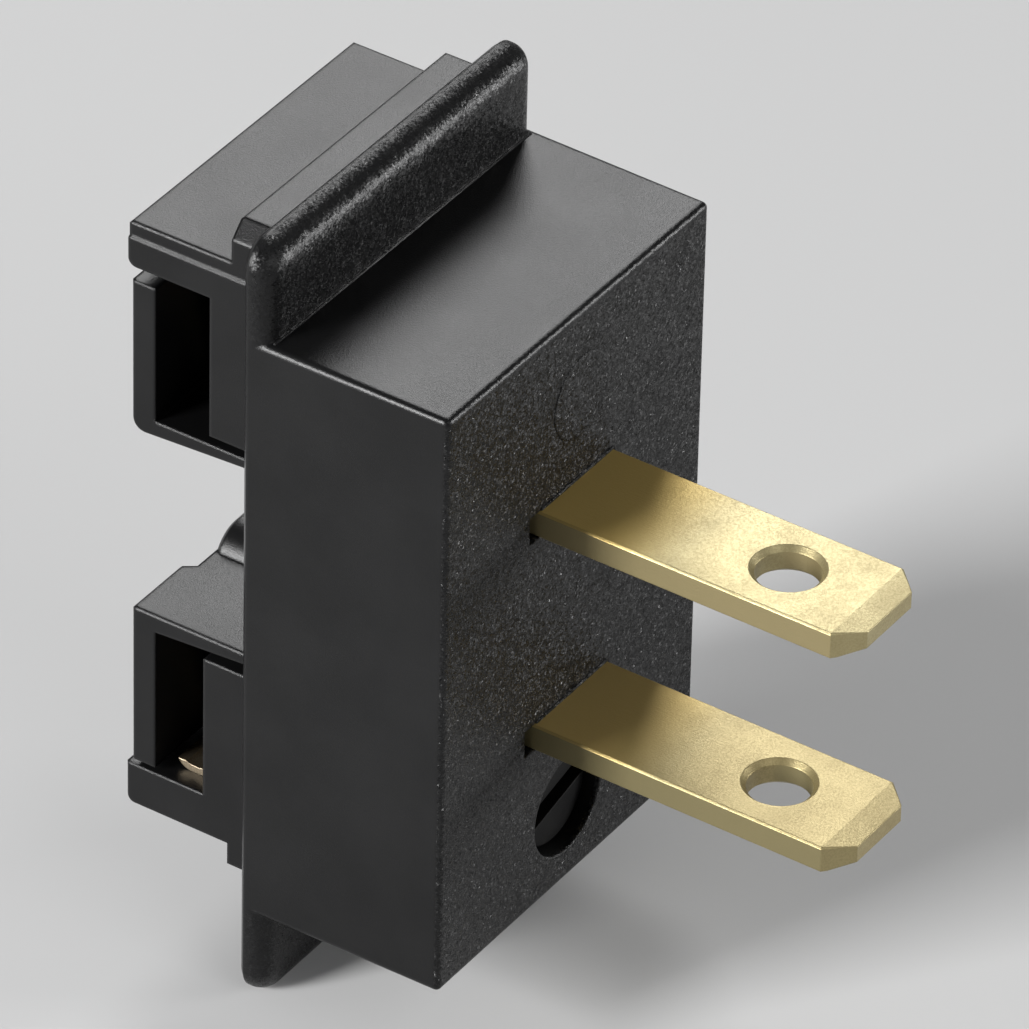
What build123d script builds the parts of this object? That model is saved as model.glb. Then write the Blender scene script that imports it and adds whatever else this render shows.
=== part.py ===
from build123d import *
from math import atan2, degrees
import os

os.makedirs("parts", exist_ok=True)

# Plug adapter with two flat blades, in millimetres and in the pose it has in use.
# X is the width, the blades point to -Y, +Z is up. The origin is the middle of the
# front face, half way between the blades. Every "depth" is a distance behind that face.

# Blades
blade_pitch = 12.7
blade_w = 6.35
blade_t = 1.5
blade_reach = 17.65
tip_cut = 1.25
tip_bevel_run = 1.3
tip_bevel_top = 0.12
tip_bevel_bottom = 0.45
blade_hole_r = 1.62
blade_hole_from_face = 12.0
blade_hole_chamfer = 0.27
blade_edge_cut = 0.1
shoulder_w = 8.8
shoulder_run = 4.0

# Front housing
front_w = 22.0
front_h = 33.9
front_depth = 10.05
root_flare = 0.1
box_corner_r = 0.4
box_edge_r = 0.3
flange_h = 44.6
flange_t = 1.6
flange_corner_r = 1.5
flange_edge_r = 1.1
flange_back_cut = 0.3
front_wall_t = 2.5
side_wall_t = 2.0
end_wall_t = 1.6
cavity_corner_r = 1.0
slot_left_gap = 0.75
slot_right_gap = 0.1
slot_side_gap = 0.04
pocket_gap = 0.05

# Clamp screw and its insert
screw_below_middle = 12.3
head_r = 2.75
head_gap = 0.1
head_t = 2.2
head_sunk = 0.8
screw_r = 1.45
screw_hole_gap = 0.2
screw_end_gap = 0.7
head_edge_cut = 0.2
screw_tip_cut = 0.4
driver_slot_w = 1.15
driver_slot_depth = 1.2
driver_slot_angle = 14
screw_boss_r = 4.0
insert_r = 2.1
insert_bore_r = 1.5
insert_boss_r = 2.7
insert_groove = 0.25
insert_groove_w = 1.0
insert_relief = 0.6
insert_boss_end_t = 0.6
insert_boss_gap = 0.9

# Rear body
rear_w = 18.7
rear_rise = 2.2
plate_margin = 10.05
plate_t = 2.45
upper_plate_depth = 19.4
lower_plate_depth = 19.55
plate_edge_r = 0.45
step_line_drop = 0.8
step_line_depth = 0.12
step_line_cut = 0.08
rear_edge_cut = 0.1
rib_t = 1.9
upper_rib_h = 2.15
lower_rib_h = 1.15
rib_chamfer = 1.0
side_block_t = 1.05
upper_block_depth = 14.7
lower_block_depth = 15.0
upper_block_end = 9.0
lower_block_end = -4.4
base_t = 0.6
spigot_t = 3.15
spigot_gap = 0.1
post_w = 1.4
post_h = 3.0
tail_slot_gap = 0.2

# Contact cover
sleeve_end_t = 1.35
upper_sleeve_out = 7.5
lower_sleeve_out = -3.05
sleeve_floor_t = 1.0
sleeve_root_t = 0.55
sleeve_rise = 0.4
cover_depth = 19.2
free_end_gap = 0.8
lower_free_end_gap = 0.35
web_t = 0.9
sleeve_corner_r = 0.7
recess_half_w = 4.9
recess_depth = 0.7
recess_side_run = 0.5
hump_w = 7.4
hump_h = 1.1
hump_corner_r = 2.0
hump_edge_cut = 0.25
peg_r = 1.2
peg_hole_gap = 0.03
peg_length = 2.3
peg_spread = 10.0

# Contacts and rivets
strip_t = 0.4
strip_w = 4.8
clip_opening = 1.95
clip_back_gap = 0.35
clip_side_gap = 0.1
clip_end_gap = 0.85
clip_waist_run = 0.65
clip_waist_drop = 4.4
clip_bend_r = 0.7
strand_inset = 3.4
fold_reach = 0.3
jog_depth = 7.5
rivet_r = 0.95
rivet_head_r = 1.55
rivet_head_t = 0.55
rivet_head_cut = 0.25
rivet_depth = 4.6
tail_start = 3.1

# Worked out from the values above
flange_back = front_depth + flange_t
flange_w = front_w + 2 * root_flare
box_root_depth = front_depth + flange_edge_r
draft_angle = degrees(atan2(root_flare, box_root_depth))
cavity_w = front_w - 2 * side_wall_t
cavity_h = front_h - 2 * end_wall_t
recess_r = head_r + head_gap
recess_deep = head_sunk + head_t
screw_z = -screw_below_middle
spigot_front = flange_back - spigot_t
plate_spread = flange_h - plate_margin
plate_top = rear_rise + plate_spread / 2
plate_bottom = rear_rise - plate_spread / 2
rib_top = plate_top + upper_rib_h
rib_bottom = plate_bottom - lower_rib_h
chamber_w = rear_w - 2 * side_block_t
chamber_top = plate_top - plate_t
chamber_bottom = plate_bottom + plate_t
rib_back = flange_back + rib_t
upper_z = blade_pitch / 2
lower_z = -blade_pitch / 2
strip_lift = (blade_t + strip_t) / 2
shoulder_back = front_wall_t + shoulder_run
post_spread = shoulder_w - post_w
upper_tail_z = upper_z + strip_lift
lower_tail_z = lower_z - strip_lift
upper_clip_z = 2 * rear_rise - lower_tail_z
upper_free_end = chamber_top - free_end_gap
lower_free_end = chamber_bottom + lower_free_end_gap
upper_floor = upper_sleeve_out + sleeve_floor_t
lower_floor = lower_sleeve_out - sleeve_floor_t
upper_fold_z = chamber_top - strip_t / 2
lower_fold_z = chamber_bottom + strip_t / 2
inner_depth = cover_depth - sleeve_end_t
clip_w = chamber_w - 2 * clip_side_gap
clip_rear_depth = inner_depth - clip_back_gap - strip_t / 2
clip_front_depth = clip_rear_depth - clip_opening
clip_waist_depth = clip_rear_depth - clip_waist_run
insert_boss_depth = clip_front_depth - strip_t / 2 - insert_boss_gap
insert_length = insert_boss_depth - insert_boss_end_t - insert_relief - spigot_front
screw_length = spigot_front + insert_length - screw_end_gap - recess_deep
edge_match = 0.001


def at_depth(depth):
    """Plane that faces the front, the given depth behind the front face."""
    return Plane.XZ.offset(-depth)


def edges_at(piece, run, axis, place):
    """Edges of the piece that run along one axis, at the given place on another."""
    along = piece.edges().filter_by(run)
    return along.filter_by(lambda edge: abs(edge.center().dot(axis.direction) - place) < edge_match)


# Front housing: drafted box, flange round its rear, hollow and with a pocket from behind
with BuildPart() as front_housing:
    with BuildSketch(at_depth(flange_back)):
        RectangleRounded(flange_w, flange_h, flange_corner_r)
    extrude(amount=flange_t)
    flange_front = front_housing.faces().sort_by(Axis.Y)[0]
    fillet(flange_front.edges(), flange_edge_r)
    flange_rear = front_housing.faces().sort_by(Axis.Y)[-1]
    chamfer(flange_rear.edges(), flange_back_cut)
    with BuildSketch(at_depth(box_root_depth)):
        RectangleRounded(flange_w, front_h + 2 * root_flare, box_corner_r)
    extrude(amount=box_root_depth, taper=draft_angle)
    box_front = front_housing.faces().sort_by(Axis.Y)[0]
    fillet(box_front.edges(), box_edge_r)

    with BuildSketch(at_depth(flange_back)):
        RectangleRounded(cavity_w, cavity_h, cavity_corner_r)
    extrude(amount=flange_back - front_wall_t, mode=Mode.SUBTRACT)
    with BuildSketch(at_depth(flange_back)):
        with Locations((0, (rib_top + rib_bottom) / 2)):
            Rectangle(rear_w + 2 * pocket_gap, rib_top - rib_bottom + 2 * pocket_gap)
    extrude(amount=base_t, mode=Mode.SUBTRACT)
    with BuildSketch(at_depth(front_wall_t)):
        with Locations((0, screw_z)):
            Circle(screw_boss_r)
    extrude(amount=front_wall_t - spigot_front + spigot_gap)
    with Locations(at_depth(0).location * Location((0, screw_z, 0))):
        CounterBoreHole(screw_r + screw_hole_gap, recess_r, recess_deep)
    with BuildSketch(at_depth(0)):
        with Locations(((slot_right_gap - slot_left_gap) / 2, 0)):
            with GridLocations(1, blade_pitch, 1, 2):
                Rectangle(blade_w + slot_left_gap + slot_right_gap, blade_t + 2 * slot_side_gap)
    extrude(amount=-front_wall_t, mode=Mode.SUBTRACT)


# Blades: flat bars with a hole, corner cuts and a bevelled tip, and shoulders behind the wall
def blade_solid(z):
    """One blade whose middle plane is at height z."""
    half_w = blade_w / 2
    top = z + blade_t / 2
    bottom = z - blade_t / 2
    with BuildPart() as blade:
        with BuildSketch(Plane.XY.offset(bottom)):
            with BuildLine():
                Polyline(
                    (0, shoulder_back),
                    (shoulder_w / 2, shoulder_back),
                    (shoulder_w / 2, front_wall_t),
                    (half_w, front_wall_t),
                    (half_w, tip_cut - blade_reach),
                    (half_w - tip_cut, -blade_reach),
                    (0, -blade_reach),
                )
                mirror(about=Plane.YZ)
            make_face()
        extrude(amount=blade_t)
        chamfer(blade.edges().filter_by(Plane.XY), blade_edge_cut)
        with BuildSketch(Plane.XY.offset(bottom)):
            with Locations((0, -blade_hole_from_face)):
                Circle(blade_hole_r)
            with Locations((0, rivet_depth)):
                Circle(rivet_r)
        extrude(amount=blade_t, mode=Mode.SUBTRACT)
        front_hole = blade.faces().filter_by(GeomType.CYLINDER).sort_by(Axis.Y)[0]
        chamfer(front_hole.edges().filter_by(GeomType.CIRCLE), blade_hole_chamfer)
        for edge_z, inward in ((top, -tip_bevel_top), (bottom, tip_bevel_bottom)):
            with BuildSketch(Plane.YZ):
                with BuildLine():
                    Polyline(
                        (-blade_reach, edge_z),
                        (tip_bevel_run - blade_reach, edge_z),
                        (-blade_reach, edge_z + inward),
                        close=True,
                    )
                make_face()
            extrude(amount=blade_w, both=True, mode=Mode.SUBTRACT)
    return blade


upper_blade = blade_solid(upper_z)
lower_blade = blade_solid(lower_z)


# Contacts: one bent strip each, a tail on the blade and a folded clip in the chamber
def contact_solid(path, tail_z, fold_z, strands_up):
    """A strip bent along the (depth, height) points of path, widest at its fold."""
    tail_end = clip_front_depth - strip_t
    side_w = (clip_w - strip_w) / 2
    with BuildPart() as contact:
        with BuildSketch(Plane.YZ):
            with BuildLine():
                FilletPolyline(*path, radius=clip_bend_r)
            trace(line_width=strip_t)
        extrude(amount=clip_w / 2, both=True)
        with BuildSketch():
            with Locations((0, tail_end / 2)):
                with GridLocations(strip_w + side_w, 1, 2, 1):
                    Rectangle(side_w, tail_end)
        extrude(amount=plate_spread, both=True, mode=Mode.SUBTRACT)
        with BuildSketch(Plane.XY.offset(fold_z + strands_up * fold_reach)):
            with Locations((0, clip_front_depth)):
                with GridLocations(clip_w, 1, 2, 1):
                    Rectangle(2 * strand_inset, clip_front_depth)
        extrude(amount=strands_up * plate_spread, mode=Mode.SUBTRACT)
        with BuildSketch(Plane.XY.offset(tail_z)):
            with Locations((0, rivet_depth)):
                Circle(rivet_r)
        extrude(amount=strip_t, both=True, mode=Mode.SUBTRACT)
    return contact


upper_contact = contact_solid(
    [
        (tail_start, upper_tail_z),
        (jog_depth, upper_tail_z),
        (jog_depth, upper_clip_z),
        (clip_front_depth, upper_clip_z),
        (clip_front_depth, upper_fold_z),
        (clip_rear_depth, upper_fold_z),
        (clip_waist_depth, upper_fold_z - clip_waist_drop),
        (clip_rear_depth, upper_floor + clip_end_gap),
    ],
    upper_tail_z,
    upper_fold_z,
    strands_up=-1,
)
lower_contact = contact_solid(
    [
        (tail_start, lower_tail_z),
        (clip_front_depth, lower_tail_z),
        (clip_front_depth, lower_fold_z),
        (clip_rear_depth, lower_fold_z),
        (clip_waist_depth, lower_fold_z + clip_waist_drop),
        (clip_rear_depth, lower_floor - clip_end_gap),
    ],
    lower_tail_z,
    lower_fold_z,
    strands_up=1,
)


# Rivets: a shank through blade and strip, and a bevelled head on each side
def rivet_solid(low, high):
    """A rivet whose heads seat at the heights low and high."""
    with BuildPart() as rivet:
        with Locations((0, rivet_depth, (low + high) / 2)):
            Cylinder(rivet_r, high - low)
        with Locations((0, rivet_depth, high + rivet_head_t / 2), (0, rivet_depth, low - rivet_head_t / 2)):
            Cylinder(rivet_head_r, rivet_head_t)
        rims = rivet.edges().filter_by(GeomType.CIRCLE).sort_by(Axis.Z)
        chamfer([rims[0], rims[-1]], rivet_head_cut)
    return rivet


upper_rivet = rivet_solid(upper_z - blade_t / 2, upper_z + blade_t / 2 + strip_t)
lower_rivet = rivet_solid(lower_z - blade_t / 2 - strip_t, lower_z + blade_t / 2)


# Clamp screw: slotted round head, plain shank
with BuildPart() as clamp_screw:
    with BuildSketch(at_depth(head_sunk)):
        with Locations((0, screw_z)):
            Circle(head_r)
    extrude(amount=-head_t)
    chamfer(clamp_screw.edges().sort_by(Axis.Y)[0], head_edge_cut)
    with BuildSketch(at_depth(recess_deep)):
        with Locations((0, screw_z)):
            Circle(screw_r)
    extrude(amount=-screw_length)
    chamfer(clamp_screw.edges().sort_by(Axis.Y)[-1], screw_tip_cut)
    with BuildSketch(at_depth(head_sunk)):
        with Locations((0, screw_z)):
            Rectangle(2 * recess_r, driver_slot_w, rotation=driver_slot_angle)
    extrude(amount=-driver_slot_depth, mode=Mode.SUBTRACT)

# Screw insert: brass bush pressed into the rear body, with a grip groove
with BuildPart() as screw_insert:
    with BuildSketch(at_depth(spigot_front)):
        with Locations((0, screw_z)):
            Circle(insert_r)
            Circle(insert_bore_r, mode=Mode.SUBTRACT)
    extrude(amount=-insert_length)
    with BuildSketch(at_depth(spigot_front + insert_length / 2)):
        with Locations((0, screw_z)):
            Circle(insert_r)
            Circle(insert_r - insert_groove, mode=Mode.SUBTRACT)
    extrude(amount=insert_groove_w / 2, both=True, mode=Mode.SUBTRACT)

# Rear body: spigot and base in the housing, and a frame above and below for the contacts
with BuildPart() as rear_body:
    with BuildSketch(at_depth(flange_back)):
        RectangleRounded(
            cavity_w - 2 * spigot_gap,
            cavity_h - 2 * spigot_gap,
            cavity_corner_r - spigot_gap,
        )
    extrude(amount=spigot_t)
    with BuildSketch(Plane.YZ):
        with BuildLine():
            Polyline(
                (flange_back, upper_block_end),
                (upper_block_depth, upper_block_end),
                (upper_block_depth, chamber_top),
                (upper_plate_depth, chamber_top),
                (upper_plate_depth, plate_top),
                (rib_back, plate_top),
                (rib_back, rib_top),
                (flange_back, rib_top),
                close=True,
            )
        make_face()
    extrude(amount=rear_w / 2, both=True)
    rib_ends = rear_body.edges().filter_by(Axis.Y).group_by(Axis.Z)[-1]
    chamfer(rib_ends, rib_chamfer)
    with BuildSketch(Plane.XY.offset(plate_top - step_line_drop)):
        with Locations((0, upper_plate_depth / 2)):
            with GridLocations(rear_w, 1, 2, 1):
                Rectangle(2 * step_line_depth, upper_plate_depth)
    extrude(amount=plate_t + upper_rib_h, mode=Mode.SUBTRACT)
    plate_sides = edges_at(rear_body, Axis.Y, Axis.Z, plate_top)
    plate_rear = edges_at(rear_body, Axis.X, Axis.Z, plate_top).sort_by(Axis.Y)[-1]
    rib_rear = edges_at(rear_body, Axis.X, Axis.Z, rib_top).sort_by(Axis.Y)[-1]
    chamfer(plate_sides + [plate_rear, rib_rear], rear_edge_cut)
    ledges = edges_at(rear_body, Axis.Y, Axis.Z, plate_top - step_line_drop).group_by(Axis.X)
    chamfer(ledges[0] + ledges[-1], step_line_cut)
    with BuildSketch(Plane.YZ):
        with BuildLine():
            Polyline(
                (flange_back, lower_block_end),
                (lower_block_depth, lower_block_end),
                (lower_block_depth, chamber_bottom),
                (lower_plate_depth, chamber_bottom),
                (lower_plate_depth, plate_bottom),
                (rib_back, plate_bottom),
                (rib_back, rib_bottom),
                (flange_back, rib_bottom),
                close=True,
            )
        make_face()
    extrude(amount=rear_w / 2, both=True)
    upper_rear = rear_body.faces().filter_by(Plane.XZ).group_by(Axis.Y)[-2]
    lower_rear = rear_body.faces().filter_by(Plane.XZ).group_by(Axis.Y)[-1]
    fillet(upper_rear.edges().filter_by(Axis.X).group_by(Axis.Z)[0], plate_edge_r)
    fillet(lower_rear.edges().filter_by(Axis.X).group_by(Axis.Z)[0], plate_edge_r)
    chamfer(edges_at(rear_body, Axis.Y, Axis.Z, plate_bottom), rear_edge_cut)

    # The chambers between the side blocks, open to the rear
    for low, high in ((upper_block_end, chamber_top), (chamber_bottom, lower_block_end)):
        with BuildSketch(at_depth(flange_back)):
            with Locations((0, (low + high) / 2)):
                Rectangle(chamber_w, high - low)
        extrude(amount=flange_back - lower_plate_depth, mode=Mode.SUBTRACT)

    # Base in the housing's pocket, which joins the spigot to both chambers
    with BuildSketch(at_depth(flange_back)):
        with Locations((0, (rib_top + rib_bottom) / 2)):
            Rectangle(rear_w, rib_top - rib_bottom)
    extrude(amount=base_t)

    # Boss for the insert, posts that hold the blades, and slots for the contact tails
    with BuildSketch(at_depth(flange_back)):
        with Locations((0, screw_z)):
            Circle(insert_boss_r)
    extrude(amount=flange_back - insert_boss_depth)
    with BuildSketch(at_depth(spigot_front)):
        with Locations((0, screw_z)):
            Circle(insert_r)
    extrude(amount=-insert_length - insert_relief, mode=Mode.SUBTRACT)
    with BuildSketch(at_depth(spigot_front)):
        with GridLocations(post_spread, blade_pitch, 2, 2):
            Rectangle(post_w, post_h)
    extrude(amount=spigot_front - shoulder_back)
    with BuildSketch(at_depth(spigot_front)):
        for tail_z in (upper_clip_z, lower_tail_z):
            with Locations((0, tail_z)):
                Rectangle(strip_w + 2 * tail_slot_gap, strip_t + 2 * tail_slot_gap)
        with Locations((0, rear_rise)):
            with GridLocations(peg_spread, 1, 2, 1):
                Circle(peg_r + peg_hole_gap)
    extrude(amount=-spigot_t, mode=Mode.SUBTRACT)

# Contact cover: one wall that wraps both chambers, open at their sides
with BuildPart() as contact_cover:
    web_back = flange_back + web_t
    with BuildSketch(Plane.YZ):
        with BuildLine():
            Polyline(
                (flange_back, lower_sleeve_out - sleeve_root_t),
                (inner_depth, lower_floor),
                (inner_depth, lower_free_end),
                (cover_depth, lower_free_end),
                (cover_depth, lower_sleeve_out),
                (web_back, lower_sleeve_out),
                (web_back, upper_sleeve_out + sleeve_rise),
                (cover_depth, upper_sleeve_out),
                (cover_depth, upper_free_end),
                (inner_depth, upper_free_end),
                (inner_depth, upper_floor),
                (flange_back, upper_floor),
                close=True,
            )
        make_face()
    extrude(amount=rear_w / 2, both=True)
    rear_faces = contact_cover.faces().filter_by(Plane.XZ).group_by(Axis.Y)[-1]
    upper_rear_face = rear_faces.sort_by(Axis.Z)[-1]
    fillet(upper_rear_face.edges().filter_by(Axis.X).sort_by(Axis.Z)[0], sleeve_corner_r)
    sleeve_top = edges_at(contact_cover, Axis.X, Axis.Z, lower_sleeve_out).sort_by(Axis.Y)[-1]
    sleeve_sides = edges_at(contact_cover, Axis.Y, Axis.Z, lower_sleeve_out)
    sleeve_rears = edges_at(contact_cover, Axis.Z, Axis.Y, cover_depth)
    chamfer(sleeve_sides + sleeve_rears + [sleeve_top], rear_edge_cut)

    # Recess down the middle of both rear walls, with slanting sides
    with BuildSketch():
        with BuildLine():
            Polyline(
                (recess_half_w, cover_depth - recess_depth),
                (recess_half_w + recess_side_run, cover_depth),
                (-recess_half_w - recess_side_run, cover_depth),
                (-recess_half_w, cover_depth - recess_depth),
                close=True,
            )
        make_face()
    extrude(amount=plate_spread, both=True, mode=Mode.SUBTRACT)

    # Round-shouldered hump on the lower sleeve, with its rear edge cut back
    hump_top = lower_sleeve_out + hump_h
    hump_depth = cover_depth - recess_depth - hump_edge_cut
    with BuildSketch(at_depth(hump_depth)) as hump:
        with Locations((0, hump_top - 2 * hump_corner_r)):
            RectangleRounded(hump_w, 4 * hump_corner_r, hump_corner_r)
        with Locations((0, hump_top - hump_h / 2 - sleeve_root_t / 4)):
            Rectangle(hump_w, hump_h + sleeve_root_t / 2, mode=Mode.INTERSECT)
    extrude(amount=hump_depth - flange_back)
    extrude(to_extrude=hump.sketch, amount=-hump_edge_cut, taper=45)

    # Pegs that locate the cover in the rear body
    with BuildSketch(at_depth(flange_back)):
        with Locations((0, rear_rise)):
            with GridLocations(peg_spread, 1, 2, 1):
                Circle(peg_r)
    extrude(amount=peg_length)

pieces = {
    "front_housing": front_housing,
    "rear_body": rear_body,
    "contact_cover": contact_cover,
    "upper_blade": upper_blade,
    "lower_blade": lower_blade,
    "upper_contact": upper_contact,
    "lower_contact": lower_contact,
    "upper_rivet": upper_rivet,
    "lower_rivet": lower_rivet,
    "clamp_screw": clamp_screw,
    "screw_insert": screw_insert,
}
for label, piece in pieces.items():
    piece.part.label = label
    export_step(piece.part, f"parts/{label}.step")
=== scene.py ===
"""Dresses the two-blade plug adapter and sets it in a plain, pale studio."""

import logging
import math
from dataclasses import dataclass, field
from enum import Enum

import bpy
from mathutils import Matrix, Vector


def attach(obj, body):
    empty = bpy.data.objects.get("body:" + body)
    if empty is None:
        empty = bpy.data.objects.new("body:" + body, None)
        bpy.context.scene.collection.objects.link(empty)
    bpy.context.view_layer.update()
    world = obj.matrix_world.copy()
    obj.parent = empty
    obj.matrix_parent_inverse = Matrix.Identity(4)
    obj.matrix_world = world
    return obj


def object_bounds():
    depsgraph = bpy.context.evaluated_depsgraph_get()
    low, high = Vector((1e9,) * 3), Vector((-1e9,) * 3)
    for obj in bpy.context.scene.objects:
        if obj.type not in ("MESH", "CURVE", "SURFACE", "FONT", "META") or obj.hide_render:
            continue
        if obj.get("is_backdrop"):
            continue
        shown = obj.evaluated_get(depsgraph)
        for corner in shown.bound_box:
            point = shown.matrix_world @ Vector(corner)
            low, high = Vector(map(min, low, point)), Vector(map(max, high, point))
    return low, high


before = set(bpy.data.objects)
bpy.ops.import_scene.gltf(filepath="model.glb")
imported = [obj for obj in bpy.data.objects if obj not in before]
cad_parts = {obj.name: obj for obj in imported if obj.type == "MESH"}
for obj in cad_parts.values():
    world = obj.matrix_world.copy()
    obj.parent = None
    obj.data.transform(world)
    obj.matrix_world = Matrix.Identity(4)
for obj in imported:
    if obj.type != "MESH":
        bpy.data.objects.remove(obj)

MM = 0.001
PHOTO_SIDE = 1029
HOUSING_SLOT = "textured_black_plastic"
LOG = logging.getLogger("plug_adapter")


class Body(Enum):
    """The bodies that a piece can ride on."""

    ROOT = "root"


class Run(Enum):
    """The axis that a drawn or rolled finish runs along."""

    WIDTH = 0
    DEPTH = 1
    HEIGHT = 2


@dataclass
class NodeTable:
    """Adds and links the nodes of one material or node group.

    Args:
        tree: The node tree that is filled.
    """

    tree: bpy.types.NodeTree
    column: int = 0

    def add(self, kind: str, inputs: dict | None = None, **settings: object) -> bpy.types.Node:
        """Adds a node.

        Args:
            kind: Blender's name of the node type.
            inputs: A value, or a socket to link from, for each input's name or number.
            settings: Values for the node's own properties.

        Returns:
            The new node.
        """
        node = self.tree.nodes.new(kind)
        node.location = (self.column * 180, 0)
        self.column += 1
        for name, value in settings.items():
            setattr(node, name, value)
        for key, value in (inputs or {}).items():
            if isinstance(value, bpy.types.NodeSocket):
                self.tree.links.new(value, node.inputs[key])
            else:
                node.inputs[key].default_value = value
        return node

    def maths(self, operation: str, *values: object) -> bpy.types.NodeSocket:
        """Returns the result of a Math node with the given operation and values."""
        return self.add("ShaderNodeMath", dict(enumerate(values)), operation=operation).outputs[0]

    def step(self, value: object, low: object, high: object) -> bpy.types.NodeSocket:
        """Adds a smooth step.

        Args:
            value: What is measured.
            low: The value up to which the result is 0.
            high: The value from which on it is 1, which may be the lower one.

        Returns:
            The result.
        """
        node = self.add(
            "ShaderNodeMapRange",
            {"Value": value, "From Min": low, "From Max": high},
            interpolation_type="SMOOTHSTEP",
        )
        return node.outputs["Result"]

    def blend(self, share: object, first: object, second: object) -> bpy.types.NodeSocket:
        """Returns a number that goes from first to second as share goes from 0 to 1."""
        node = self.add("ShaderNodeMix", {0: share, 2: first, 3: second}, data_type="FLOAT")
        return node.outputs[0]

    def tint(self, share: object, first: object, second: object) -> bpy.types.NodeSocket:
        """Returns a colour that goes from first to second as share goes from 0 to 1."""
        node = self.add("ShaderNodeMix", {0: share, 6: first, 7: second}, data_type="RGBA")
        return node.outputs[2]

    def vectors(self, operation: str, **inputs: object) -> bpy.types.NodeSocket:
        """Returns the vector result of a Vector Math node, with a, b and scale as inputs."""
        keys = {"a": 0, "b": 1, "scale": "Scale"}
        values = {keys[name]: value for name, value in inputs.items()}
        return self.add("ShaderNodeVectorMath", values, operation=operation).outputs[0]


@dataclass
class SharedEffect:
    """A node group that several finishes place with their own values.

    Args:
        name: The group's name.
        inputs: The number that each named input has until it is set.
        outputs: The named outputs. One called Normal is a vector, as is the input it needs.
    """

    name: str
    inputs: dict[str, float]
    outputs: tuple[str, ...]
    tree: bpy.types.NodeTree = field(init=False)
    table: NodeTable = field(init=False)
    given: bpy.types.Node = field(init=False)

    def __post_init__(self) -> None:
        """Makes the group with its sockets, and lets the subclass fill it."""
        self.tree = bpy.data.node_groups.new(self.name, "ShaderNodeTree")
        face = self.tree.interface
        vectors = ["Vector", "Normal"] if "Normal" in self.outputs else ["Vector"]
        for name in vectors:
            face.new_socket(name, in_out="INPUT", socket_type="NodeSocketVector")
        for name, value in self.inputs.items():
            socket = face.new_socket(name, in_out="INPUT", socket_type="NodeSocketFloat")
            socket.default_value = value
        for name in self.outputs:
            kind = "NodeSocketVector" if name == "Normal" else "NodeSocketFloat"
            face.new_socket(name, in_out="OUTPUT", socket_type=kind)
        self.table = NodeTable(self.tree)
        self.given = self.table.add("NodeGroupInput")
        results = self.fill()
        self.table.add("NodeGroupOutput", dict(zip(self.outputs, results)))

    def fill(self) -> list[bpy.types.NodeSocket]:
        """Fills the group and returns its results in the order of outputs."""
        raise NotImplementedError

    def place(
        self, table: NodeTable, vector: bpy.types.NodeSocket, **values: object,
    ) -> bpy.types.Node:
        """Places the group in a material.

        Args:
            table: The material's node table.
            vector: The coordinates that the effect reads.
            values: A value for each named input, with _ for a space.

        Returns:
            The group node.
        """
        inputs = {name.replace("_", " "): value for name, value in values.items()}
        return table.add("ShaderNodeGroup", {"Vector": vector, **inputs}, node_tree=self.tree)


class MouldGrain(SharedEffect):
    """The fine grain of a satin moulded face, with slow changes of gloss."""

    def __init__(self) -> None:
        """Names the group's sockets."""
        super().__init__("mould_grain", {"Grain": 0.1 * MM, "Patch": 4 * MM}, ("Height", "Gloss"))

    def fill(self) -> list[bpy.types.NodeSocket]:
        """Makes fine noise for the height, and slow noise for the gloss.

        Returns:
            The height and the gloss.
        """
        t, given = self.table, self.given.outputs
        fine = t.add("ShaderNodeTexNoise", {
            "Vector": given["Vector"],
            "Scale": t.maths("DIVIDE", 1.0, given["Grain"]),
            "Detail": 3.0,
            "Roughness": 0.6,
        })
        slow = t.add("ShaderNodeTexNoise", {
            "Vector": given["Vector"],
            "Scale": t.maths("DIVIDE", 1.0, given["Patch"]),
            "Detail": 4.0,
            "Roughness": 0.55,
        })
        return [fine.outputs["Fac"], slow.outputs["Fac"]]


class SparkErosion(SharedEffect):
    """The facets and craters that a spark-eroded mould leaves on plastic."""

    FINER = 1.9
    GLINT_FROM = 0.55

    def __init__(self) -> None:
        """Names the group's sockets."""
        inputs = {"Crater": 0.15 * MM, "Tilt": 0.4, "Zone": 1.0}
        super().__init__("spark_erosion", inputs, ("Normal", "Glint"))

    def fill(self) -> list[bpy.types.NodeSocket]:
        """Makes facets of two sizes that each lean their own way, and a glint on some of them.

        Returns:
            The normal and the glint.
        """
        t, given = self.table, self.given.outputs
        lean = t.maths("MULTIPLY", given["Tilt"], given["Zone"])
        scale = t.maths("DIVIDE", 1.0, given["Crater"])
        wide = t.add("ShaderNodeTexVoronoi", {"Vector": given["Vector"], "Scale": scale})
        fine = t.add("ShaderNodeTexVoronoi", {
            "Vector": given["Vector"],
            "Scale": t.maths("MULTIPLY", scale, self.FINER),
        })
        normal = given["Normal"]
        for facets in (wide, fine):
            turn = t.vectors("SUBTRACT", a=facets.outputs["Color"], b=(0.5, 0.5, 0.5))
            turn = t.vectors("SCALE", a=turn, scale=lean)
            normal = t.vectors("ADD", a=normal, b=turn)
        parts = t.add("ShaderNodeSeparateColor", {"Color": fine.outputs["Color"]})
        glint = t.step(parts.outputs["Red"], self.GLINT_FROM, 1.0)
        return [t.vectors("NORMALIZE", a=normal), glint]


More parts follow.
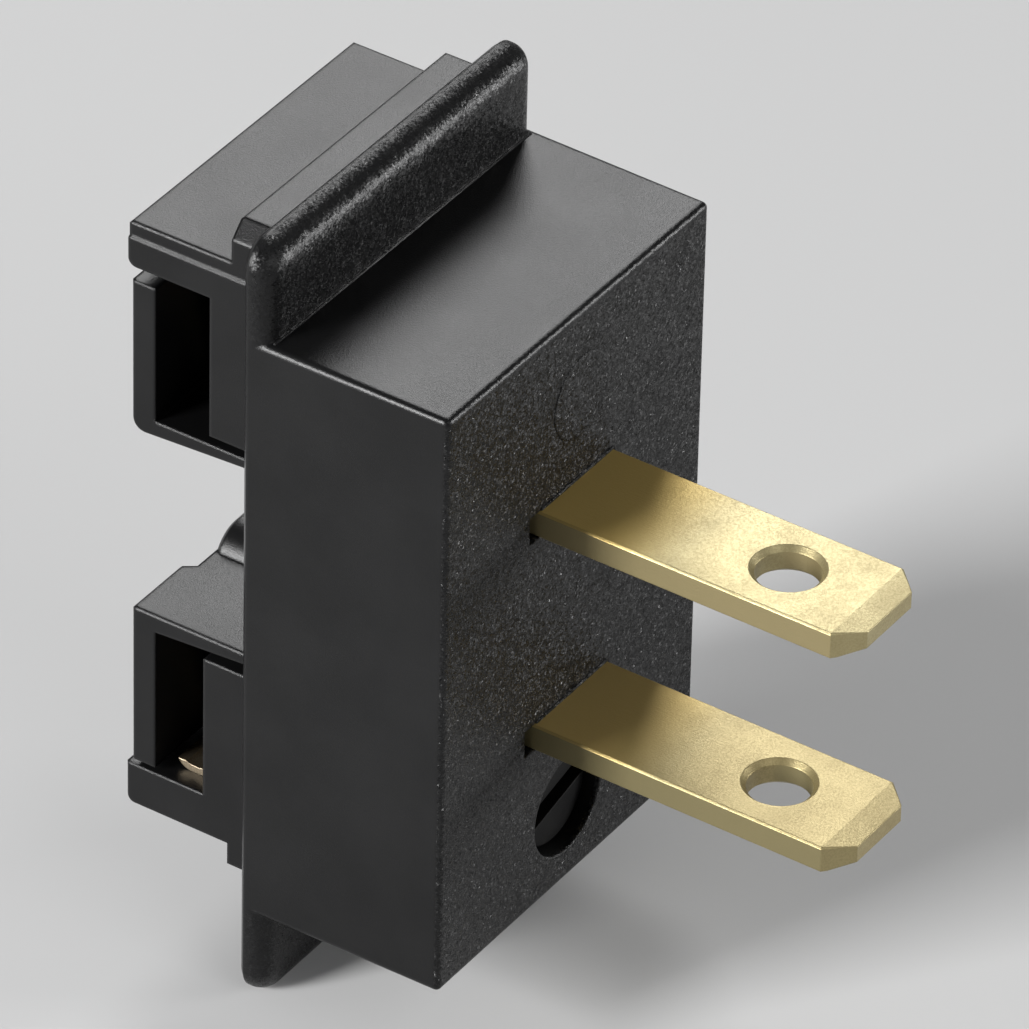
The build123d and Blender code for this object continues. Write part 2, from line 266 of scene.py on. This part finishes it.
class DrawnLines(SharedEffect):
    """Fine lines along one direction and small pits, as on rolled brass."""

    STRETCH = 0.04
    CLOUD = 3 * MM
    PIT_SHARE = 0.6
    SPECKS = (0.40, 0.62)
    CLOUDY = (0.35, 0.70)
    SPECK_SHARE = 0.55

    def __init__(self) -> None:
        """Names the group's sockets."""
        inputs = {"Line": 0.06 * MM, "Pit": 0.12 * MM}
        super().__init__("drawn_lines", inputs, ("Height", "Tarnish"))

    def fill(self) -> list[bpy.types.NodeSocket]:
        """Makes lines along the third coordinate, pits, and tarnish in specks and clouds.

        Returns:
            The height and the tarnish.
        """
        t, given = self.table, self.given.outputs
        stretched = t.add("ShaderNodeMapping", {
            "Vector": given["Vector"],
            "Scale": (1.0, 1.0, self.STRETCH),
        })
        lines = t.add("ShaderNodeTexNoise", {
            "Vector": stretched.outputs["Vector"],
            "Scale": t.maths("DIVIDE", 1.0, given["Line"]),
            "Detail": 2.0,
        })
        pits = t.add("ShaderNodeTexNoise", {
            "Vector": given["Vector"],
            "Scale": t.maths("DIVIDE", 1.0, given["Pit"]),
            "Detail": 3.0,
            "Roughness": 0.65,
        })
        height = t.blend(self.PIT_SHARE, lines.outputs["Fac"], pits.outputs["Fac"])
        clouds = t.add("ShaderNodeTexNoise", {
            "Vector": given["Vector"],
            "Scale": 1 / self.CLOUD,
            "Detail": 5.0,
            "Roughness": 0.6,
        })
        specks = t.step(pits.outputs["Fac"], *self.SPECKS)
        cloudy = t.step(clouds.outputs["Fac"], *self.CLOUDY)
        return [height, t.blend(self.SPECK_SHARE, cloudy, specks)]


@dataclass
class Effects:
    """The node groups, built once."""

    grain: MouldGrain = field(default_factory=MouldGrain)
    erosion: SparkErosion = field(default_factory=SparkErosion)
    lines: DrawnLines = field(default_factory=DrawnLines)


def new_material(name: str) -> tuple[bpy.types.Material, NodeTable, bpy.types.Node]:
    """Makes an empty material.

    Args:
        name: The material's name.

    Returns:
        The material, its node table and its Principled BSDF.
    """
    material = bpy.data.materials.new(name)
    material.use_nodes = True
    material.node_tree.nodes.clear()
    table = NodeTable(material.node_tree)
    surface = table.add("ShaderNodeBsdfPrincipled")
    table.add("ShaderNodeOutputMaterial", {"Surface": surface.outputs["BSDF"]})
    return material, table, surface


def bumped(t: NodeTable, height: bpy.types.NodeSocket, rounding: float) -> bpy.types.NodeSocket:
    """Rounds the edges' shading and adds a height to it.

    Args:
        t: The material's node table.
        height: The height of the surface's grain, in metres.
        rounding: The radius of the rounded edges, in metres.

    Returns:
        The shading normal.
    """
    edges = t.add("ShaderNodeBevel", {"Radius": rounding}, samples=8)
    inputs = {"Strength": 1.0, "Distance": 1.0, "Height": height, "Normal": edges.outputs["Normal"]}
    return t.add("ShaderNodeBump", inputs).outputs["Normal"]


@dataclass(frozen=True)
class BlackPlastic:
    """Black moulded plastic, satin all over or spark-eroded in front.

    Args:
        name: The material's name.
        eroded: Whether the front faces carry the crater texture.
        dark: The colour where the mould left the face a little glossier.
        light: The colour where it left it a little duller.
        gloss: How strongly the plastic reflects.
        rounding: The radius of the edges' rounded shading.
        grain: The width of the satin faces' grain.
        patch: The width of the slow changes of gloss.
        tones: The values of that slow noise that turn fully dark and fully light.
        grain_height: The height of the grain.
        roughness: The satin faces' roughness, from dark to light.
        half_height: Where the box ends and the bare flange begins, above and below.
        front_edge: How far behind the front face its texture reaches.
        front_full: How far behind it the texture has its full strength.
        bare_start: How far inside the box's end the flange's texture begins.
        edge_start: How far inside the box's upper and lower end the texture gets calmer.
        edge_end: How far inside them it is at its calmest.
        texture_back: How far behind the front face the flange's texture reaches.
        fade: Half the depth over which that texture fades out.
        calm: Share of the texture that the flange carries.
        edge_calm: Share of the texture on the front face's upper and lower edge.
        crown: How far the flange's front leans outwards near its edge, as a slope.
        crown_rise: The heights between which it starts to lean.
        crown_back: Where the lean ends, behind the front face.
        crater: The width of the texture's larger facets.
        tilt: How far the facets lean.
        crater_roughness: The roughness of the plain facets and of the glinting ones.
    """

    name: str
    eroded: bool = False
    dark: tuple[float, ...] = (0.004, 0.004, 0.0042, 1.0)
    light: tuple[float, ...] = (0.006, 0.006, 0.0062, 1.0)
    gloss: float = 0.25
    rounding: float = 0.25 * MM
    grain: float = 0.08 * MM
    patch: float = 5 * MM
    tones: tuple[float, float] = (0.3, 0.7)
    grain_height: float = 0.013 * MM
    roughness: tuple[float, float] = (0.28, 0.31)
    half_height: float = 17.12 * MM
    front_edge: float = 0.3 * MM
    front_full: float = 0.21 * MM
    bare_start: float = 0.05 * MM
    edge_start: float = 0.75 * MM
    edge_end: float = 0.45 * MM
    texture_back: float = 11.25 * MM
    fade: float = 0.30 * MM
    calm: float = 0.42
    edge_calm: float = 0.25
    crown: float = 0.26
    crown_rise: tuple[float, float] = (20.1 * MM, 21.5 * MM)
    crown_back: float = 11.2 * MM
    crater: float = 0.15 * MM
    tilt: float = 0.58
    crater_roughness: tuple[float, float] = (0.48, 0.20)

    def build(self, effects: Effects) -> bpy.types.Material:
        """Builds the material.

        Args:
            effects: The shared node groups.

        Returns:
            The finished material.
        """
        material, t, surface = new_material(self.name)
        place = t.add("ShaderNodeTexCoord").outputs["Object"]
        grain = effects.grain.place(t, place, Grain=self.grain, Patch=self.patch)
        tone = t.step(grain.outputs["Gloss"], *self.tones)
        roughness = t.blend(tone, *self.roughness)
        height = t.maths("MULTIPLY", grain.outputs["Height"], self.grain_height)
        normal = bumped(t, height, self.rounding)
        if self.eroded:
            zone = self.eroded_zone(t, place)
            normal = t.vectors("ADD", a=normal, b=self.crowned(t, place))
            erosion = effects.erosion.place(
                t, place, Normal=normal, Crater=self.crater, Tilt=self.tilt, Zone=zone,
            )
            normal = erosion.outputs["Normal"]
            rough = t.blend(erosion.outputs["Glint"], *self.crater_roughness)
            roughness = t.blend(zone, roughness, rough)
        surface.inputs["Specular IOR Level"].default_value = self.gloss
        t.tree.links.new(t.tint(tone, self.dark, self.light), surface.inputs["Base Color"])
        t.tree.links.new(roughness, surface.inputs["Roughness"])
        t.tree.links.new(normal, surface.inputs["Normal"])
        return material

    def crowned(self, t: NodeTable, place: bpy.types.NodeSocket) -> bpy.types.NodeSocket:
        """Finds how far the flange's front leans outwards near its upper and lower edge.

        Args:
            t: The material's node table.
            place: The object coordinates.

        Returns:
            The lean, as a vector to add to the normal.
        """
        axes = t.add("ShaderNodeSeparateXYZ", {"Vector": place})
        depth, up = axes.outputs["Y"], axes.outputs["Z"]
        rise = t.step(t.maths("ABSOLUTE", up), *self.crown_rise)
        front = t.step(depth, self.crown_back, self.crown_back - self.fade)
        lean = t.maths("MULTIPLY", t.maths("MULTIPLY", rise, front), self.crown)
        return t.add("ShaderNodeCombineXYZ", {
            "Z": t.maths("MULTIPLY", lean, t.maths("SIGN", up)),
        }).outputs["Vector"]

    def eroded_zone(self, t: NodeTable, place: bpy.types.NodeSocket) -> bpy.types.NodeSocket:
        """Finds where the faces are eroded.

        Args:
            t: The material's node table.
            place: The object coordinates.

        Returns:
            A mask that is 1 on the front face and less on its edge and the flange.
        """
        axes = t.add("ShaderNodeSeparateXYZ", {"Vector": place})
        depth, height = axes.outputs["Y"], t.maths("ABSOLUTE", axes.outputs["Z"])
        edge = t.step(height, self.half_height - self.edge_start, self.half_height - self.edge_end)
        front = t.step(depth, self.front_edge, self.front_full)
        front = t.maths("MULTIPLY", front, t.blend(edge, 1.0, self.edge_calm))
        bare = t.step(height, self.half_height - self.bare_start, self.half_height)
        ahead = t.step(depth, self.texture_back + self.fade, self.texture_back - self.fade)
        flange = t.maths("MULTIPLY", t.maths("MULTIPLY", bare, ahead), self.calm)
        return t.maths("MAXIMUM", front, flange)


@dataclass(frozen=True)
class WornMetal:
    """Rolled metal with fine lines, small pits and thin clouds of tarnish.

    Args:
        name: The material's name.
        bright: The colour of the clean metal.
        tarnished: The colour of its specks and clouds.
        root: A brighter, browner colour painted on the blades next to the housing, as painted fill
            light on their shaded roots.
        root_reach: The depths between which the blades turn to that colour.
        painted_side_shade: A darker colour painted on the blades' sideways faces, as painted shade
            that makes them look duller than their faces.
        side_turn: How squarely a face has to look sideways to take the painted side shade, from and
            to.
        run: The axis that the fine lines follow.
        metallic: The share of metal in the shader.
        roughness: The roughness of the clean and of the tarnished metal.
        rounding: The radius of the edges' rounded shading.
        line: The width of the lines.
        pit: The width of the pits.
        height: The height of lines and pits.
    """

    name: str
    bright: tuple[float, ...]
    tarnished: tuple[float, ...]
    root: tuple[float, ...] | None = None
    root_reach: tuple[float, float] = (-7.5 * MM, -3.0 * MM)
    painted_side_shade: tuple[float, ...] | None = None
    side_turn: tuple[float, float] = (0.6, 0.9)
    run: Run = Run.DEPTH
    metallic: float = 1.0
    roughness: tuple[float, float] = (0.40, 0.46)
    rounding: float = 0.07 * MM
    line: float = 0.05 * MM
    pit: float = 0.11 * MM
    height: float = 0.016 * MM

    def build(self, effects: Effects) -> bpy.types.Material:
        """Builds the material.

        Args:
            effects: The shared node groups.

        Returns:
            The finished material.
        """
        material, t, surface = new_material(self.name)
        where = t.add("ShaderNodeTexCoord")
        axes = t.add("ShaderNodeSeparateXYZ", {"Vector": where.outputs["Object"]})
        across = [axis.value for axis in Run if axis is not self.run]
        order = [axes.outputs[number] for number in (*across, self.run.value)]
        turned = t.add("ShaderNodeCombineXYZ", dict(enumerate(order))).outputs["Vector"]
        lines = effects.lines.place(t, turned, Line=self.line, Pit=self.pit)
        tarnish = lines.outputs["Tarnish"]
        colour = t.tint(tarnish, self.bright, self.tarnished)
        # Painted fill light: towards the housing the blades turn to the brighter root colour, which
        # stands in for light on their shaded roots.
        if self.root:
            colour = t.tint(t.step(axes.outputs["Y"], *self.root_reach), colour, self.root)
        # Painted shade: faces that look sideways get a darker colour, standing in for the shade on
        # the blades' sides.
        if self.painted_side_shade:
            facing = t.add("ShaderNodeSeparateXYZ", {"Vector": where.outputs["Normal"]})
            side = t.step(t.maths("ABSOLUTE", facing.outputs["X"]), *self.side_turn)
            colour = t.tint(side, colour, self.painted_side_shade)
        height = t.maths("MULTIPLY", lines.outputs["Height"], self.height)
        surface.inputs["Metallic"].default_value = self.metallic
        t.tree.links.new(colour, surface.inputs["Base Color"])
        t.tree.links.new(t.blend(tarnish, *self.roughness), surface.inputs["Roughness"])
        t.tree.links.new(bumped(t, height, self.rounding), surface.inputs["Normal"])
        return material


def dress(material: bpy.types.Material, *nodes: str) -> None:
    """Gives CAD nodes a material.

    Args:
        material: The finished material.
        nodes: The names of the CAD nodes.
    """
    for name in nodes:
        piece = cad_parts[name]
        piece.data.materials.clear()
        piece.data.materials.append(material)
        LOG.info("%s wears %s", name, material.name)


@dataclass
class Housing:
    """The drafted box with its flange, and the marks that its mould leaves."""

    finish: BlackPlastic = BlackPlastic("textured_black_plastic_finish", eroded=True)

    def build(self, effects: Effects) -> None:
        """Dresses the housing and adds its marks.

        Args:
            effects: The shared node groups.
        """
        material = self.finish.build(effects)
        dress(material, "front_housing")
        for mark in (EjectorMark(), PartingBead(), BladeFlash()):
            mark.build(material)


@dataclass
class RearPart:
    """The rear body and the contact cover."""

    finish: BlackPlastic = BlackPlastic("satin_black_plastic_finish")

    def build(self, effects: Effects) -> None:
        """Dresses both mouldings."""
        dress(self.finish.build(effects), "rear_body", "contact_cover")


@dataclass
class Blades:
    """The two brass blades."""

    finish: WornMetal = WornMetal(
        "blade_brass_finish",
        bright=(0.395, 0.340, 0.180, 1.0),
        tarnished=(0.300, 0.250, 0.125, 1.0),
        # root: painted fill light on the shaded blade root
        root=(0.660, 0.470, 0.150, 1.0),
        # painted shade on the blades' sideways faces
        painted_side_shade=(0.290, 0.238, 0.120, 1.0),
        metallic=0.66,
        roughness=(0.35, 0.43),
    )
    # The lower blade wears a darker copy of the blade brass: a shaded copy of one material, so its
    # darkness is painted shade.
    duller: WornMetal = WornMetal(
        "shaded_lower_blade_brass_finish",
        bright=(0.330, 0.272, 0.132, 1.0),
        tarnished=(0.245, 0.196, 0.090, 1.0),
        # root: painted fill light on the shaded blade root
        root=(0.600, 0.440, 0.160, 1.0),
        # painted shade on the blades' sideways faces
        painted_side_shade=(0.230, 0.194, 0.096, 1.0),
        metallic=0.66,
        roughness=(0.37, 0.45),
    )

    def build(self, effects: Effects) -> None:
        """Dresses both blades, the lower one in a darker copy of the brass, which is painted shade
        for the light that the box keeps off it.
        """
        dress(self.finish.build(effects), "upper_blade")
        dress(self.duller.build(effects), "lower_blade")


@dataclass
class Contacts:
    """The spring contacts, their rivets and the brass insert."""

    spring: WornMetal = WornMetal(
        "contact_bronze_finish",
        bright=(0.42, 0.35, 0.25, 1.0),
        tarnished=(0.27, 0.21, 0.14, 1.0),
        run=Run.WIDTH,
    )
    turned: WornMetal = WornMetal(
        "rivet_brass_finish",
        bright=(0.66, 0.52, 0.27, 1.0),
        tarnished=(0.48, 0.36, 0.17, 1.0),
        run=Run.HEIGHT,
    )

    def build(self, effects: Effects) -> None:
        """Dresses the small metal pieces."""
        dress(self.spring.build(effects), "upper_contact", "lower_contact")
        dress(self.turned.build(effects), "upper_rivet", "lower_rivet", "screw_insert")


@dataclass
class Clamp:
    """The screw that holds the two halves together."""

    finish: BlackPlastic = BlackPlastic(
        "black_screw_finish",
        dark=(0.004, 0.004, 0.0042, 1.0),
        light=(0.009, 0.0088, 0.0085, 1.0),
        gloss=0.10,
        rounding=0.12 * MM,
        roughness=(0.45, 0.60),
    )

    def build(self, effects: Effects) -> None:
        """Dresses the screw."""
        dress(self.finish.build(effects), "clamp_screw")


@dataclass
class SmallForm:
    """A small raised form of the housing, modelled in edit mode and then finished.

    Args:
        piece: The new primitive, which is the active object.
        facing: How squarely a face has to look one way to be picked.
        smooth: The largest angle between two faces that are shaded as one.
    """

    piece: bpy.types.Object
    facing: float = 0.99
    smooth: float = math.radians(40)

    @staticmethod
    def cylinder(
        name: str, radius: float, length: float, sides: int, turn: Vector, place: Vector,
    ) -> "SmallForm":
        """Adds a cylinder whose place and turn are in its mesh.

        Args:
            name: The piece's name.
            radius: Its radius.
            length: Its length along its own axis.
            sides: How many sides it has.
            turn: Its turn about X, Y and Z, in radians.
            place: Its middle.

        Returns:
            The new form.
        """
        bpy.ops.object.select_all(action="DESELECT")
        bpy.ops.mesh.primitive_cylinder_add(
            vertices=sides, radius=radius, depth=length, location=place, rotation=turn,
        )
        piece = bpy.context.object
        piece.name = name
        bpy.ops.object.transform_apply(location=True, rotation=True, scale=True)
        return SmallForm(piece)

    def pick(self, towards: Vector) -> None:
        """Goes to edit mode with only the faces selected that look in one direction.

        Args:
            towards: The direction.
        """
        bpy.ops.object.mode_set(mode="EDIT")
        bpy.ops.mesh.select_mode(type="FACE")
        bpy.ops.mesh.select_all(action="DESELECT")
        bpy.ops.object.mode_set(mode="OBJECT")
        for face in self.piece.data.polygons:
            face.select = face.normal.dot(towards) > self.facing
        bpy.ops.object.mode_set(mode="EDIT")

    def draw_in_ends(self, length: float, taper: float) -> None:
        """Adds a narrowing end to both sides of a form that runs along X.

        Args:
            length: How long each end is.
            taper: Its tip's size as a share of its foot's.
        """
        for end in (-1, 1):
            self.pick(Vector((end, 0, 0)))
            bpy.ops.mesh.extrude_region_move(TRANSFORM_OT_translate={"value": (end * length, 0, 0)})
            bpy.ops.transform.resize(value=(1, taper, taper))

    def finish(self, bevel: float, slot: str, material: bpy.types.Material) -> None:
        """Rounds the edges, dresses the piece and lets it ride on the object.

        Args:
            bevel: Width of the rounded edges.
            slot: The record's material slot. It is not used.
            material: The finish.
        """
        bpy.ops.object.mode_set(mode="OBJECT")
        edges = self.piece.modifiers.new("edges", "BEVEL")
        edges.width = bevel
        edges.segments = 2
        edges.limit_method = "ANGLE"
        bpy.ops.object.modifier_apply(modifier=edges.name)
        bpy.ops.object.shade_smooth_by_angle(angle=self.smooth)
        self.piece.data.materials.append(material)
        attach(self.piece, Body.ROOT.value)
        LOG.info("%s has %d faces", self.piece.name, len(self.piece.data.polygons))


@dataclass
class EjectorMark:
    """The faint round witness mark of an ejector pin, above the upper blade.

    Args:
        centre: Its place on the front face, across and up.
        radius: Its outer radius.
        sides: How many sides the round has.
        rim: Width of the flat rim.
        slope: Width of the slope inside the rim.
        proud: How far the rim stands out of the face.
        sunk: How far the disc reaches into the housing.
        depth: How far the middle lies below the rim.
        bevel: Width of the rounded edges.
    """

    centre: tuple[float, float] = (0.3 * MM, 11.9 * MM)
    radius: float = 2.33 * MM
    sides: int = 72
    rim: float = 0.10 * MM
    slope: float = 0.12 * MM
    proud: float = 0.022 * MM
    sunk: float = 0.05 * MM
    depth: float = 0.045 * MM
    bevel: float = 0.018 * MM

    def build(self, material: bpy.types.Material) -> None:
        """Models a thin disc, and sinks its face so that a sloping rim is left round it.

        Args:
            material: The housing's finish.
        """
        place = Vector((self.centre[0], (self.sunk - self.proud) / 2, self.centre[1]))
        turn = Vector((math.pi / 2, 0, 0))
        thickness = self.proud + self.sunk
        form = SmallForm.cylinder("ejector_mark", self.radius, thickness, self.sides, turn, place)
        form.pick(Vector((0, -1, 0)))
        bpy.ops.mesh.inset(thickness=self.rim)
        bpy.ops.mesh.inset(thickness=self.slope, depth=-self.depth)
        form.finish(self.bevel, HOUSING_SLOT, material)


@dataclass
class PartingBead:
    """The fine bead where the flange's front meets the box, above and below.

    Args:
        depth: How far its middle lies behind the front face.
        height: How far its middle lies above or below the middle of the face.
        length: Its length without its ends.
        radius: Its radius.
        sides: How many sides it has.
        taper: The size of its tips as a share of its own.
        softness: The width of its rounded edges as a share of its radius.
    """

    depth: float = 10.05 * MM
    height: float = 17.05 * MM
    length: float = 21.3 * MM
    radius: float = 0.09 * MM
    sides: int = 16
    taper: float = 0.6
    softness: float = 1 / 8

    def build(self, material: bpy.types.Material) -> None:
        """Models one bead with drawn-in ends for each side of the box.

        Args:
            material: The housing's finish.
        """
        turn = Vector((0, math.pi / 2, 0))
        for name, up in (("upper_parting_bead", self.height), ("lower_parting_bead", -self.height)):
            place = Vector((0, self.depth, up))
            form = SmallForm.cylinder(name, self.radius, self.length, self.sides, turn, place)
            form.draw_in_ends(self.radius, self.taper)
            form.finish(self.radius * self.softness, HOUSING_SLOT, material)


@dataclass
class BladeFlash:
    """The thin line of plastic that stands along each blade's top, on the front face.

    Args:
        blade_rise: The height of the upper blade's line.
        pitch: How far below it the lower blade's line is.
        middle: Where its middle is across the face.
        length: Its length without its ends.
        radius: Its radius.
        sides: How many sides it has.
        taper: The size of its tips as a share of its own.
        softness: The width of its rounded edges as a share of its radius.
    """

    blade_rise: float = 7.18 * MM
    pitch: float = 12.7 * MM
    middle: float = 0.05 * MM
    length: float = 6.0 * MM
    radius: float = 0.10 * MM
    sides: int = 12
    taper: float = 0.5
    softness: float = 1 / 8

    def build(self, material: bpy.types.Material) -> None:
        """Models one line with drawn-in ends over each blade.

        Args:
            material: The housing's finish.
        """
        turn = Vector((0, math.pi / 2, 0))
        for name, drop in (("upper_blade_flash", 0.0), ("lower_blade_flash", self.pitch)):
            place = Vector((self.middle, 0, self.blade_rise - drop))
            form = SmallForm.cylinder(name, self.radius, self.length, self.sides, turn, place)
            form.draw_in_ends(self.radius, self.taper)
            form.finish(self.radius * self.softness, HOUSING_SLOT, material)


@dataclass
class PhotoCamera:
    """The camera at the photograph's angle.

    Args:
        azimuth: Degrees round the object, 0 looking along +Y.
        elevation: Degrees above the horizon.
        roll: Degrees that the camera is turned about its own axis.
        distance: From the frame's origin.
        focal_pixels: Focal length in pixels of the photograph.
        origin_pixel: Where the frame's origin is in the photograph.
        sensor: Width of the camera's sensor, in millimetres.
    """

    azimuth: float = -57.10
    elevation: float = 36.96
    roll: float = 1.56
    distance: float = 555.5 * MM
    focal_pixels: float = 11625.8
    origin_pixel: tuple[float, float] = (573.0, 599.6)
    sensor: float = 36.0

    def build(self) -> bpy.types.Object:
        """Places the scene's camera, aimed without any shift.

        Returns:
            The camera.
        """
        a, e, r = (math.radians(v) for v in (self.azimuth, self.elevation, self.roll))
        back = Vector((math.sin(a) * math.cos(e), -math.cos(a) * math.cos(e), math.sin(e)))
        right = Vector((math.cos(a), math.sin(a), 0.0))
        up = back.cross(right)
        turn = Matrix.Rotation(r, 3, back)
        right, up = turn @ right, turn @ up
        centre = PHOTO_SIDE / 2
        across = centre - self.origin_pixel[0]
        down = centre - self.origin_pixel[1]
        ahead = (right * across - up * down - back * self.focal_pixels).normalized()
        side = ahead.cross(up).normalized()
        axes = Matrix((side, side.cross(ahead), -ahead)).transposed()
        data = bpy.data.cameras.new("photo_camera")
        data.sensor_width = self.sensor
        data.lens = self.sensor * self.focal_pixels / PHOTO_SIDE
        data.clip_start = 0.01
        data.clip_end = 50.0
        camera = bpy.data.objects.new("photo_camera", data)
        camera.matrix_world = Matrix.Translation(back * self.distance) @ axes.to_4x4()
        bpy.context.scene.collection.objects.link(camera)
        bpy.context.scene.camera = camera
        return camera


@dataclass(frozen=True)
class SoftLight:
    """A rectangular soft light that faces the object.

    Args:
        name: The light's name.
        towards: Direction from the object to the light.
        away: Distance from the object.
        size: Width and height.
        glow: Brightness of its face, where 1 is white.
    """

    name: str
    towards: tuple[float, float, float]
    away: float
    size: tuple[float, float]
    glow: float

    def build(self) -> bpy.types.Object:
        """Places the light.

        Returns:
            The light.
        """
        data = bpy.data.lights.new(self.name, "AREA")
        data.shape = "RECTANGLE"
        data.size, data.size_y = self.size
        data.energy = self.glow * math.pi * self.size[0] * self.size[1]
        light = bpy.data.objects.new(self.name, data)
        light.visible_camera = False
        direction = Vector(self.towards).normalized()
        light.location = direction * self.away
        light.rotation_euler = direction.to_track_quat("Z", "Y").to_euler()
        bpy.context.scene.collection.objects.link(light)
        return light


@dataclass
class Studio:
    """The pale floor, the soft lights and the world.

    Args:
        floor_side: The floor's width and depth.
        floor_colour: The floor's colour.
        cloud_shade: How bright the floor's faint clouds are beside that colour.
        world_colour: The light from all round.
        lights: The soft lights.
    """

    floor_side: float = 6.0
    floor_colour: tuple[float, ...] = (0.53, 0.53, 0.53, 1.0)
    cloud_shade: float = 0.985
    world_colour: tuple[float, ...] = (0.14, 0.142, 0.145, 1.0)
    lights: tuple[SoftLight, ...] = (
        SoftLight("back_softbox", (0.67, 0.44, 0.60), 0.9, (0.34, 0.30), 10.0),
        SoftLight("front_strip", (0.67, -0.74, 0.10), 0.8, (0.30, 0.18), 30.0),
        SoftLight("left_softbox", (-0.83, 0.434, 0.34), 0.95, (0.27, 0.37), 54.0),
        SoftLight("front_fill", (-0.20, -0.75, 0.62), 1.0, (0.60, 0.60), 1.8),
    )

    def build(self, lowest: float) -> None:
        """Builds the studio with the floor under the object.

        Args:
            lowest: The height of the object's lowest point.
        """
        for light in self.lights:
            light.build()
        self.build_floor(lowest)
        self.build_world()
        bpy.context.scene.view_settings.view_transform = "Standard"

    def build_floor(self, lowest: float) -> None:
        """Lays the floor, which is clear from below.

        Args:
            lowest: The height of the object's lowest point.
        """
        bpy.ops.mesh.primitive_plane_add(size=self.floor_side, location=(0, 0, lowest))
        floor = bpy.context.object
        floor.name = "studio_floor"
        material, t, surface = new_material("studio_floor_finish")
        place = t.add("ShaderNodeTexCoord").outputs["Object"]
        cloud = t.add("ShaderNodeTexNoise", {"Vector": place, "Scale": 3.0, "Detail": 3.0})
        darker = tuple(self.cloud_shade * channel for channel in self.floor_colour)
        colour = t.tint(cloud.outputs["Fac"], self.floor_colour, darker)
        t.tree.links.new(colour, surface.inputs["Base Color"])
        surface.inputs["Roughness"].default_value = 0.9
        surface.inputs["Specular IOR Level"].default_value = 0.1
        clear = t.add("ShaderNodeBsdfTransparent")
        behind = t.add("ShaderNodeNewGeometry").outputs["Backfacing"]
        mixed = t.add("ShaderNodeMixShader", {0: behind, 1: surface.outputs[0], 2: clear.outputs[0]})
        output = next(n for n in t.tree.nodes if n.type == "OUTPUT_MATERIAL")
        t.tree.links.new(mixed.outputs[0], output.inputs["Surface"])
        floor.data.materials.append(material)
        floor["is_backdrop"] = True

    def build_world(self) -> None:
        """Makes the plain pale world."""
        world = bpy.data.worlds.new("studio_world")
        world.use_nodes = True
        bpy.context.scene.world = world
        world.node_tree.nodes["Background"].inputs["Color"].default_value = self.world_colour


def main() -> None:
    """Builds the camera, the pieces' finishes and the studio."""
    logging.basicConfig(level=logging.INFO, format="%(name)s: %(message)s")
    cad_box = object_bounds()
    PhotoCamera().build()
    effects = Effects()
    for part in (Housing(), RearPart(), Blades(), Contacts(), Clamp()):
        part.build(effects)
    Studio().build(cad_box[0].z)


if __name__ == "__main__":
    main()
